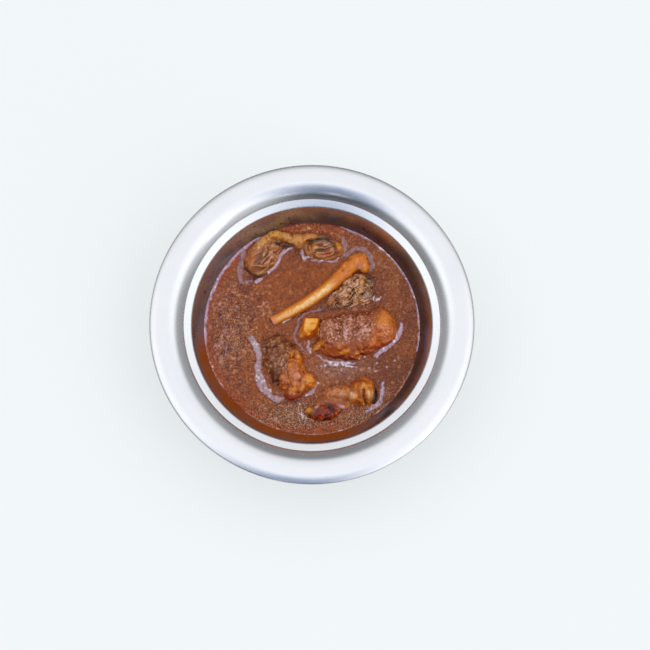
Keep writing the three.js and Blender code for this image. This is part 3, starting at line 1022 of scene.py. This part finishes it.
# ------------------------ the wing
# A bent wing at the far side: two lobes of brown stringy meat, each in a frame of orange skin, joined by
# a ridge of pale, pimply skin that stands clear of the sauce.
ridge_route = [
    (-45, 68, 3.2), (-38, 75, 3.6), (-30.5, 79.5, 3.4), (-23.5, 77.4, 3.8), (-16.5, 73.6, 4.4),
    (-10.7, 72.4, 4.6), (-5, 75.2, 3.6), (2, 77, 1.6),
]
wing = flesh("wing_coated", [
    lobe((-42, 58, -7.5), (19.0, 14.6, 15.2), turn=46, square=0.95),
    lobe((-49, 59, -3.5), (10.5, 5.4, 8.2), turn=68),
    lobe((-40.5, 70, -2), (11, 5.8, 8.6), turn=48),
    lobe((-30.5, 68, -4), (8.5, 7.0, 9.0), turn=30),
    lobe((-43, 46.6, -4), (10, 5.6, 8.0), turn=-4),
    lobe((-31, 77.0, -2), (8.0, 5.4, 8.6), turn=16),
    lobe((-21, 75.2, -1), (8.5, 5.2, 8.4), turn=-24),
    lobe((-12, 72.2, 0.6), (7.6, 6.8, 8.8), turn=-14),
    lobe((-4, 74.8, -0.8), (7.6, 4.8, 7.6), turn=26),
    lobe((6, 76.2, -3), (9, 3.8, 7.6), turn=2),
    lobe((8.5, 66.2, -6.5), (18.4, 11.2, 13.4), turn=-6),
    lobe((21.5, 66.5, -2.5), (4.4, 7.6, 8.4), turn=22),
], softening=4)
p = points_of(wing)
left = near(p, (-39.5, 57), 13, 1.25, 46)
right = near(p, (8, 65), 10, 1.5, -4)
ridge = eased(depth_in(p, ridge_route), -1.6, 1.2)
bent = p.copy()
bent[:, 0] += 2.8 * noise(p, 8, 59)
bent[:, 1] += 2.8 * noise(p, 8, 60)
stripes = fibres(bent, 44, 1.7, 8, 51)
bands = fibres(bent, 2, 1.6, 9, 58)
low_left = near(p, (-43, 48), 7, 1.5)
strings = fibres(bent, 12, 1.7, 7, 52)
pimples = noise(p, 1.5, 54)
left_fibres = 2.0 * (stripes - 0.68) * (1 - low_left) + 1.2 * (bands - 0.66) * low_left
p = push(wing, left_fibres * left * (1 - ridge)
         + 1.8 * (strings - 0.66) * right * (1 - ridge) + 0.7 * noise(p, 4.5, 53) + 0.35 * pimples * ridge
         + 0.4 * noise(p, 2.2, 57) - 2.6 * beside(p, [(-29, 70.5), (-23, 69.5), (-17, 67)], 1.8)
         - 1.8 * beside(p, [(-3, 71), (5, 72.6), (12, 71.5)], 1.5))
_, north, up = normals_of(wing).T
weave = np.where(low_left > 0.5, bands, stripes)
dress(wing, skin_finish, wet=0.85 - 0.1 * ridge, paint=painted(
    (166, 104, 64),
    # Painted shade between the fibres and painted light on their crests.
    ((88, 48, 28), (1 - eased(weave, 0.45, 0.7)) * left * 0.8),
    ((222, 164, 132), eased(weave, 0.70, 0.92) * left * 0.9),
    ((104, 92, 74), near(p, (-42, 63), 2.2, 2.0, 60) * 0.5),
    ((192, 106, 38), near(p, (-50.5, 59), 4.4, 2.2, 75) * 0.85),
    ((190, 128, 74), low_left * eased(bands, 0.55, 0.85) * 0.7),
    # Painted shade along the left lobe's edge against the sauce.
    ((58, 30, 18), beside(p, [(-57.5, 60), (-56, 51), (-51, 46), (-44, 42.5), (-38, 45)], 1.7) * 0.85),
    # Painted shade between the strings and painted light on their crests.
    ((76, 38, 20), right * (1 - eased(strings, 0.48, 0.74)) * 0.85),
    ((230, 168, 114), right * eased(strings, 0.70, 0.92) * 0.95),
    ((196, 160, 150), near(p, (13.5, 71), 2.4, 1.6, 30) * 0.7),
    ((128, 82, 60), near(p, (10, 77.5), 4, 2.0) * 0.8),
    # Painted shade in the groove behind the right lobe.
    ((60, 46, 36), beside(p, [(-2, 71.5), (6, 74), (13, 74)], 2.4) * 0.85),
    ((66, 32, 16), beside(p, [(13, 73), (18.5, 70), (19, 63)], 1.4) * 0.8),
    ((170, 76, 18), near(p, (13, 62), 3.2, 1.5, 20) * 0.8),
    ((224, 146, 52), near(p, (22.5, 68), 2.4, 2.2, 120)),
    ((204, 140, 80), ridge),
    ((216, 156, 66), ridge * near(p, (-27, 79), 6, 1.6) * 0.8),
    # On the ridge, painted light on pimples facing up, painted shade below them and on its near side.
    ((232, 178, 118), ridge * eased(pimples, 0.2, 0.8) * eased(up, 0.2, 0.9) * 0.7),
    ((146, 78, 30), ridge * eased(-pimples - 0.4 * up, 0.0, 0.8) * 0.8),
    ((132, 66, 26), ridge * eased(-north, 0.35, 0.85) * 0.8),
    # Painted shadow in the groove under the ridge.
    ((40, 20, 14), beside(p, [(-29, 70.8), (-23, 69.4), (-17, 67)], 2.0)),
))
settle(wing, "coated_meat", "wing_piece")

# ------------------------ the stew
# A thick brown sauce of ground peanuts and oil. It climbs the steel and the chicken, stands in glossy
# folds where it is pushed up against a piece, with the sky's lilac reflection and white glints painted on
# them, and is grainy where the ground nut gathers. Painted shade darkens it round the pieces and at the wall.
stew_cells = 300
stew_overlap = 0.4
creep_rise = 1.4
creep_width = 2.2
climb_width = 1.3


def disc_grid(cells, radius):
    """A square grid eased into a disc, so that its cells stay even from the middle to the edge."""
    line = np.linspace(-1, 1, cells + 1)
    a, b = np.meshgrid(line, line, indexing="xy")
    wide = np.abs(a) >= np.abs(b)
    safe_a = np.where(a == 0, 1, a)
    safe_b = np.where(b == 0, 1, b)
    reach = np.where(wide, a, b)
    angle = np.where(wide, b / safe_a * math.pi / 4, math.pi / 2 - a / safe_b * math.pi / 4)
    return np.stack([(radius * reach * np.cos(angle)).ravel(), (radius * reach * np.sin(angle)).ravel()], 1)


def footprint_distance(piece, plan):
    """How far each plan point is from the piece at the stew's level, in mm, below 0 inside it."""
    mesh = piece.data
    corners = [vertex.co[:] for vertex in mesh.vertices]
    skin = BVHTree.FromPolygons(corners, [tuple(face.vertices) for face in mesh.polygons])
    distance = np.full(len(plan), 99.0)
    margin = 8
    low, high = np.array([piece.bound_box[0][:2], piece.bound_box[6][:2]]) / MM
    around = np.all((plan > low - margin) & (plan < high + margin), axis=1)
    for index in np.flatnonzero(around):
        spot = Vector((plan[index, 0], plan[index, 1], STEW_LEVEL)) * MM
        found, facing, _, gap = skin.find_nearest(spot)
        inside = (spot - found).dot(facing) < 0
        distance[index] = (-gap if inside else gap) / MM
    return distance


def round_route(radius, start, end, half_width):
    """A route along the wall, between two angles in degrees."""
    spots = arc((0, 0), radius, math.radians(start), math.radians(end), steps=24)
    return [(*spot, half_width) for spot in spots]


stew_edge = wall_radius(STEW_LEVEL + creep_rise) + stew_overlap
plan = disc_grid(stew_cells, stew_edge)
flat = np.concatenate([plan, np.zeros((len(plan), 1))], 1)
from_wall = stew_edge - np.linalg.norm(plan, axis=1)
rise = creep_rise * np.exp(-((from_wall - stew_overlap).clip(0) / creep_width) ** 1.3)
# Painted shade round each piece where it meets the stew.
contact_shade = np.zeros(len(plan))
climbs = (
    (leg_bone, 0.5), (leg_meat, 0.7), (knuckle, 0.5), (drumstick, 0.8), (thigh, 0.9), (drumette, 0.8),
    (wing, 0.8),
)
for piece, climb in climbs:
    distance = footprint_distance(piece, plan)
    rise = np.maximum(rise, climb * np.exp(-((distance.clip(0) / climb_width) ** 1.4)))
    contact_shade = np.maximum(contact_shade, 1 - eased(distance, 0.2, 1.5))

# Each fold has a colour, a height and a route of x, y and half width. The colour is a painted reflection
# of the sky on the fold, and white a painted glint.
lilac, mauve, russet = (196, 168, 190), (176, 148, 158), (152, 112, 116)
white, pinkish = (236, 226, 236), (186, 122, 98)
folds = [
    (mauve, 1.4, [
        (-50.5, -8, 2.3), (-45.4, -15.3, 2.8), (-42.9, -22.6, 2.6), (-43.9, -33, 2.6), (-43.4, -40.3, 3.6),
        (-39.8, -48.6, 4), (-34.2, -55.4, 2.6), (-28, -59, 2.8), (-23.9, -58, 1.4),
    ]),
    (lilac, 1.3, [
        (73.7, 3.4, 1.2), (72.1, -1.8, 2), (69.1, -8, 2.2), (64, -13.8, 2), (57.8, -17.9, 2),
        (51.7, -22.6, 1.2),
    ]),
    (russet, 0.8, [
        (7.7, 15.9, 0.8), (-0.4, 14.3, 1), (-7.6, 11.7, 1), (-11.2, 6.5, 1), (-12.2, 0.3, 1.1),
        (-14.2, -4.9, 1), (-13.7, -9.6, 1), (-9.6, -14.3, 1), (-5.5, -19, 0.8),
    ]),
    (mauve, 0.8, [(-3, -11.2, 1.4), (-3, -15.3, 1.6), (-1.5, -21, 1.2)]),
    (lilac, 1.0, [
        (57.8, -45.5, 1.1), (57.8, -50.7, 1.3), (56.8, -57, 1.6), (54.8, -62.2, 1.8), (49.7, -65.3, 1.8),
        (44.5, -68.4, 1),
    ]),
    (white, 0.8, [(-10.7, -62.2, 1), (-9.6, -68.4, 1.2), (-7.6, -72.6, 1.1), (-4.5, -76.2, 0.8)]),
    (mauve, 0.7, [(5.2, -45, 1.1), (2.6, -49.7, 1.2), (-0.4, -53.3, 1.2), (-4.5, -55.9, 0.8)]),
    (lilac, 0.9, [
        (-16.3, 67.4, 1), (-21.9, 65.3, 1.1), (-25, 61.7, 1.3), (-27, 56.5, 1.3), (-30.1, 51.3, 1.2),
        (-34.2, 48.2, 1.2), (-40.3, 44, 1.5), (-45.4, 38.3, 1.5),
    ]),
    (russet, 1.0, [
        (-56.1, 63.8, 1.8), (-57.7, 56.5, 2.2), (-59.7, 50.2, 2.2), (-59.7, 45, 2.2), (-58.7, 39.8, 2),
        (-54.6, 38.3, 1.4), (-49.5, 39.8, 1),
    ]),
    (mauve, 0.6, [(-8.6, 66.9, 1), (-8.6, 61.7, 1.2), (-5.5, 57.5, 1)]),
    (mauve, 0.5, [
        (-0.4, 56.5, 0.7), (5.7, 56, 0.8), (10.8, 57, 0.8), (15.9, 55.5, 0.8), (20, 56.5, 0.8),
        (22.1, 59.6, 0.7),
    ]),
    (russet, 0.7, [(26.1, 75.2, 1.4), (27.2, 69, 1.8), (26.1, 63.8, 1.8), (24.1, 58.6, 1.4)]),
    (russet, 0.8, [
        (28.2, 60.6, 1.8), (35.3, 66.9, 2.2), (42.5, 65.8, 2.2), (47.6, 60.6, 2.2), (49.6, 53.4, 2.2),
        (47.6, 49.2, 1.6),
    ]),
    (white, 0.8, [(52.2, 25.3, 2.4), (55, 25, 1.8)]),
    (lilac, 0.5, [
        (4, -22, 0.4), (9.5, -26, 0.6), (14, -28, 0.8), (20, -28.6, 1.0), (27, -28.4, 1.0),
        (35.3, -29.2, 0.5),
    ]),
    (white, 0.3, [(14, -28, 0.4), (20, -28.6, 0.5), (27, -28.4, 0.5), (35.3, -29.2, 0.4)]),
    (white, 0.4, [
        (0.6, -30.9, 0.6), (6.7, -32, 0.8), (12.9, -30.4, 0.6), (19, -29.9, 0.8), (27.2, -30.4, 0.6),
        (36.4, -32.5, 0.7),
    ]),
    (white, 0.2, [(-24.5, 4.2, 0.5), (-10.7, 12.6, 0.5)]),
    (white, 0.4, [(-5, 59.5, 0.8), (-0.5, 60, 0.9)]),
    (white, 0.3, [(-35.5, 47.4, 0.5), (-40.5, 43.4, 0.6)]),
    (lilac, 0.3, round_route(87.4, 120, 188, 1.2)),
    (lilac, 0.2, round_route(87.8, -12, 74, 0.8)),
    (pinkish, 0.1, round_route(87.9, -128, -20, 0.7)),
    (pinkish, 0.1, round_route(87.6, 188, 214, 0.8)),
]
bubbles = [
    (38.4, -25.2), (43, -23.9), (53.2, -24.2), (52.9, -28.9), (51.7, -35.6), (67.5, -26.8), (46.6, -33),
    (24, -34.5), (12, -36.5), (61, -32), (-3, 59.6), (-45.4, -16), (-40.8, -44.5), (-38, -50),
]
bubble_size = 0.75
bubble_height = 0.4

wobble = np.zeros((len(flat), 3))
wobble[:, 0] = noise(flat, 3.0, 67) + 0.5 * noise(flat, 1.4, 75)
wobble[:, 1] = noise(flat, 3.0, 68)
broken = noise(flat, 1.7, 70)
patchy = noise(flat, 4.0, 73)
# Painted reflections and glints on the folds, and a painted highlight on each bubble.
fold_sheen = []
for fold_colour, fold_height, route in folds:
    depth = depth_in(flat + 0.9 * wobble, route)
    rise = rise + fold_height * eased(depth, -1.3, 1.2) * np.exp(-rise / 2)
    gaps = broken + 0.5 * patchy if fold_colour == white else patchy + 0.4 * broken + 1.0
    ribbon = eased(depth, -0.5, 0.5) * eased(gaps, -0.2, 0.25)
    glint = eased(broken + 0.5 * patchy, 0.3, 0.8) * eased(depth + 0.5 * broken, 0.0, 0.8)
    fold_sheen.append((fold_colour, ribbon * (0.78 + 0.22 * broken)))
    if fold_colour != russet:
        fold_sheen.append((white, ribbon * glint * 0.8))
for spot in bubbles:
    dot = near(flat, spot, bubble_size)
    rise = rise + bubble_height * dot
    fold_sheen.append((white, dot * 0.9))

left_drift = eased(from_wall, 2, 6) * (1 - eased(from_wall, 15, 22)) * near(flat, (-80, -2), 34)
left_grain = near(flat, (-64, -6), 20, 2.2, 90)
near_grain = np.clip(near(flat, (-14, -74), 15, 3.0, 3) + 0.8 * near(flat, (44, -72), 12, 2.2, 38), 0, 1)
between = near(flat, (22, -34), 10, 2.6, 3)
grain = np.clip(0.26 + 0.45 * left_grain + 0.95 * near_grain + 0.25 * between, 0, 1)
grain *= 1 - 0.75 * near(flat, (-2, 42), 20, 1.9, 10)
swirl = noise(flat * (1.0, 0.6, 1.0), 11, 61)
drift_lines = fibres(flat, 76, 1.7, 6, 68)
lumps = noise(flat, 2.2, 62) * 0.3 + noise(flat, 1.2, 63) * 0.3
surface = rise + 0.2 * swirl + lumps * grain + 0.5 * (drift_lines - 0.6) * left_drift
top = np.concatenate([plan, (STEW_LEVEL + surface)[:, None]], 1)
top[from_wall < stew_overlap - 0.05, 2] = STEW_LEVEL + creep_rise

row = stew_cells + 1
index = np.arange(row * row).reshape(row, row)
cells = np.stack([index[:-1, :-1], index[:-1, 1:], index[1:, 1:], index[1:, :-1]], -1).reshape(-1, 4)
border = np.concatenate([index[0, :-1], index[:-1, -1], index[-1, :0:-1], index[:0:-1, 0]])
side_heights = np.array([40.0, 24, 14, 7, 3, 1.2])
ring = plan[border] / stew_edge
rings = [
    np.concatenate([ring * (wall_radius(z) + stew_overlap), np.full((len(ring), 1), z)], 1)
    for z in side_heights
]
points = np.concatenate([top, *rings, [(0, 0, side_heights[-1])]])
faces = [tuple(cell) for cell in cells]
upper = border
for level in range(len(rings)):
    lower = len(top) + level * len(border) + np.arange(len(border))
    faces += zip(upper, lower, np.roll(lower, -1), np.roll(upper, -1))
    upper = lower
bottom_middle = len(points) - 1
faces += [(bottom_middle, after, before) for before, after in zip(upper, np.roll(upper, -1))]
stew = new_object("stew_surface", points * MM, [], faces)
shade_smooth(stew.data, 60)


def onward(values, rest):
    """The top's values, then one value for all points of the sides and the underside."""
    return np.concatenate([values, np.broadcast_to(rest, (len(points) - len(top), *values.shape[1:]))])


specks = noise(flat, 1.3, 64) + 0.6 * noise(flat, 0.8, 69)
blotches = noise(flat, 2.4, 76) + 0.5 * noise(flat, 5, 77)
mottled = np.clip(0.35 + left_grain + 0.6 * near(flat, (-48, 18), 16, 1.5, 20), 0, 1)
far_edge = near(flat, (-4, 84), 10, 3.4)
streaky = eased(drift_lines + 0.35 * broken + 0.2 * patchy, 0.78, 0.95)
left_side = eased(-0.94 * plan[:, 0] - 0.34 * plan[:, 1], -25, 30)
tones = painted(
    (152, 86, 44),
    ((134, 78, 50), eased(plan[:, 0], 15, 60) * 0.9),
    ((116, 72, 52), near(flat, (62, -44), 18, 1.6, 50) * 0.8),
    ((140, 80, 54), left_grain),
    ((128, 70, 40), eased(swirl, 0.0, 0.8) * 0.5),
    ((166, 96, 48), eased(-swirl, 0.2, 0.9) * 0.45),
    ((134, 84, 58), near_grain),
    ((148, 106, 92), between * 0.85),
    ((96, 44, 23), mottled * eased(blotches, 0.1, 0.6) * 0.85),
    ((202, 138, 104), mottled * eased(-blotches + 0.4 * specks, 0.35, 0.9) * 0.85),
    ((152, 78, 40), far_edge * 0.7),
    ((214, 160, 104), far_edge * eased(specks, 0.3, 0.8) * 0.8),
    ((204, 158, 128), grain * eased(specks, 0.35, 0.95) * 0.9),
    ((86, 44, 22), grain * eased(-specks, 0.4, 1.0) * 0.8),
    ((186, 116, 66), left_grain * eased(noise(flat, 2.2, 74), 0.45, 0.8) * 0.6),
    # Painted highlights on the streaks of the left drift, painted shade between them.
    ((194, 150, 152), left_drift * streaky * 0.8),
    ((112, 58, 40), left_drift * (1 - eased(drift_lines, 0.4, 0.6)) * 0.35),
    ((156, 80, 44), (1 - eased(from_wall, 4, 9)) * left_side * (1 - 0.9 * left_drift) * 0.9),
    # Painted shade where the stew meets the wall.
    ((88, 44, 20), (1 - eased(from_wall, 0.4, 1.6)) * 0.8),
    # Painted shade in the gaps beside the leg meat and under the wing.
    ((70, 52, 26), near(flat, (7.5, 15.5), 3.0, 2.2, 12) * 0.85),
    ((44, 24, 16), near(flat, (-21.5, 68.5), 3.0, 2.0, -20) * 0.85),
    ((56, 38, 20), near(flat, (-47.5, 41), 2.4, 1.8, -20) * 0.8),
    ((110, 62, 52), near(flat, (-13, 62), 5, 1.6) * 0.6),
    ((104, 52, 16), near(flat, (-14, -60), 5, 2.4, 5) * 0.7),
    # Painted shade round the pieces.
    ((96, 52, 28), contact_shade * 0.35),
    *fold_sheen,
)
shine = np.clip(0.05 + 0.5 * grain * eased(specks, 0.2, 0.8) + sum(mask for _, mask in fold_sheen), 0, 1)
sauce, wire = new_material("peanut_sauce")
place = wire.node("ShaderNodeTexCoord", out="Object")
wet = wire.kept("wet")
grainy = wire.kept("grain")
coarse = place.cloudy(460.0, 2.0)
fine = place.cloudy(1250.0, 1.0)
paint = wire.kept("paint", out="Color").scaled(1 + (1.2 + 2.2 * grainy) * (coarse - 0.5))
paint = (grainy * fine.between(0.56, 0.66)).mix(paint, flat_paint(205, 160, 132))
paint = (grainy * (1 - fine.between(0.34, 0.44))).mix(paint, flat_paint(80, 40, 20))
finish_with(wire, {
    "Base Color": paint,
    "Roughness": 0.42 - 0.22 * wet,
    "Coat Weight": wet,
    "Coat Roughness": 0.08,
    "Coat IOR": 1.5,
    "IOR": 1.33,
    "Normal": wire.bump(coarse + fine * 0.5, 1.0, 0.25 * MM),
})
sunk_tone = pigment(120, 66, 36)
dress(stew, sauce, paint=onward(tones, sunk_tone), wet=onward(shine, 0), grain=onward(grain, 0))
settle(stew, "stew", "stew")

# ------------------------ the ground nut
# Crumbs of ground peanut too coarse to melt into the sauce: they float in it, pale and uneven, thickest
# in the drifts at the left and the near side.


def crumb(wire, ports):
    lump = wire.node("GeometryNodeMeshIcoSphere", {"Radius": ports["Radius"], "Subdivisions": 1})
    return wire.node("GeometryNodeTransform", {"Geometry": lump, "Scale": (1.0, 0.78, 0.6)})


crumb_tree = scatter_tree("floating_crumbs", crumb, Radius="Float")
crumb_finish = shaded_material("ground_nut", (104, 62, 38), (222, 176, 138), rough=0.36, glaze=0.8)
crowding = eased(grain * (0.8 + 0.5 * noise(flat, 6, 71)), 0.3, 1.0) * (from_wall > 1.2)
crumbs = strewn(
    "floating_nut_crumbs", stew, onward(crowding, 0), crumb_tree, Density=9.0e5, Smallest=0.45, Largest=1.3,
    LeastTurn=(-0.6, -0.6, 0), MostTurn=(0.6, 0.6, 6.2), Seed=9, Coat=crumb_finish, Radius=0.45 * MM,
)
settle(crumbs, "stew")
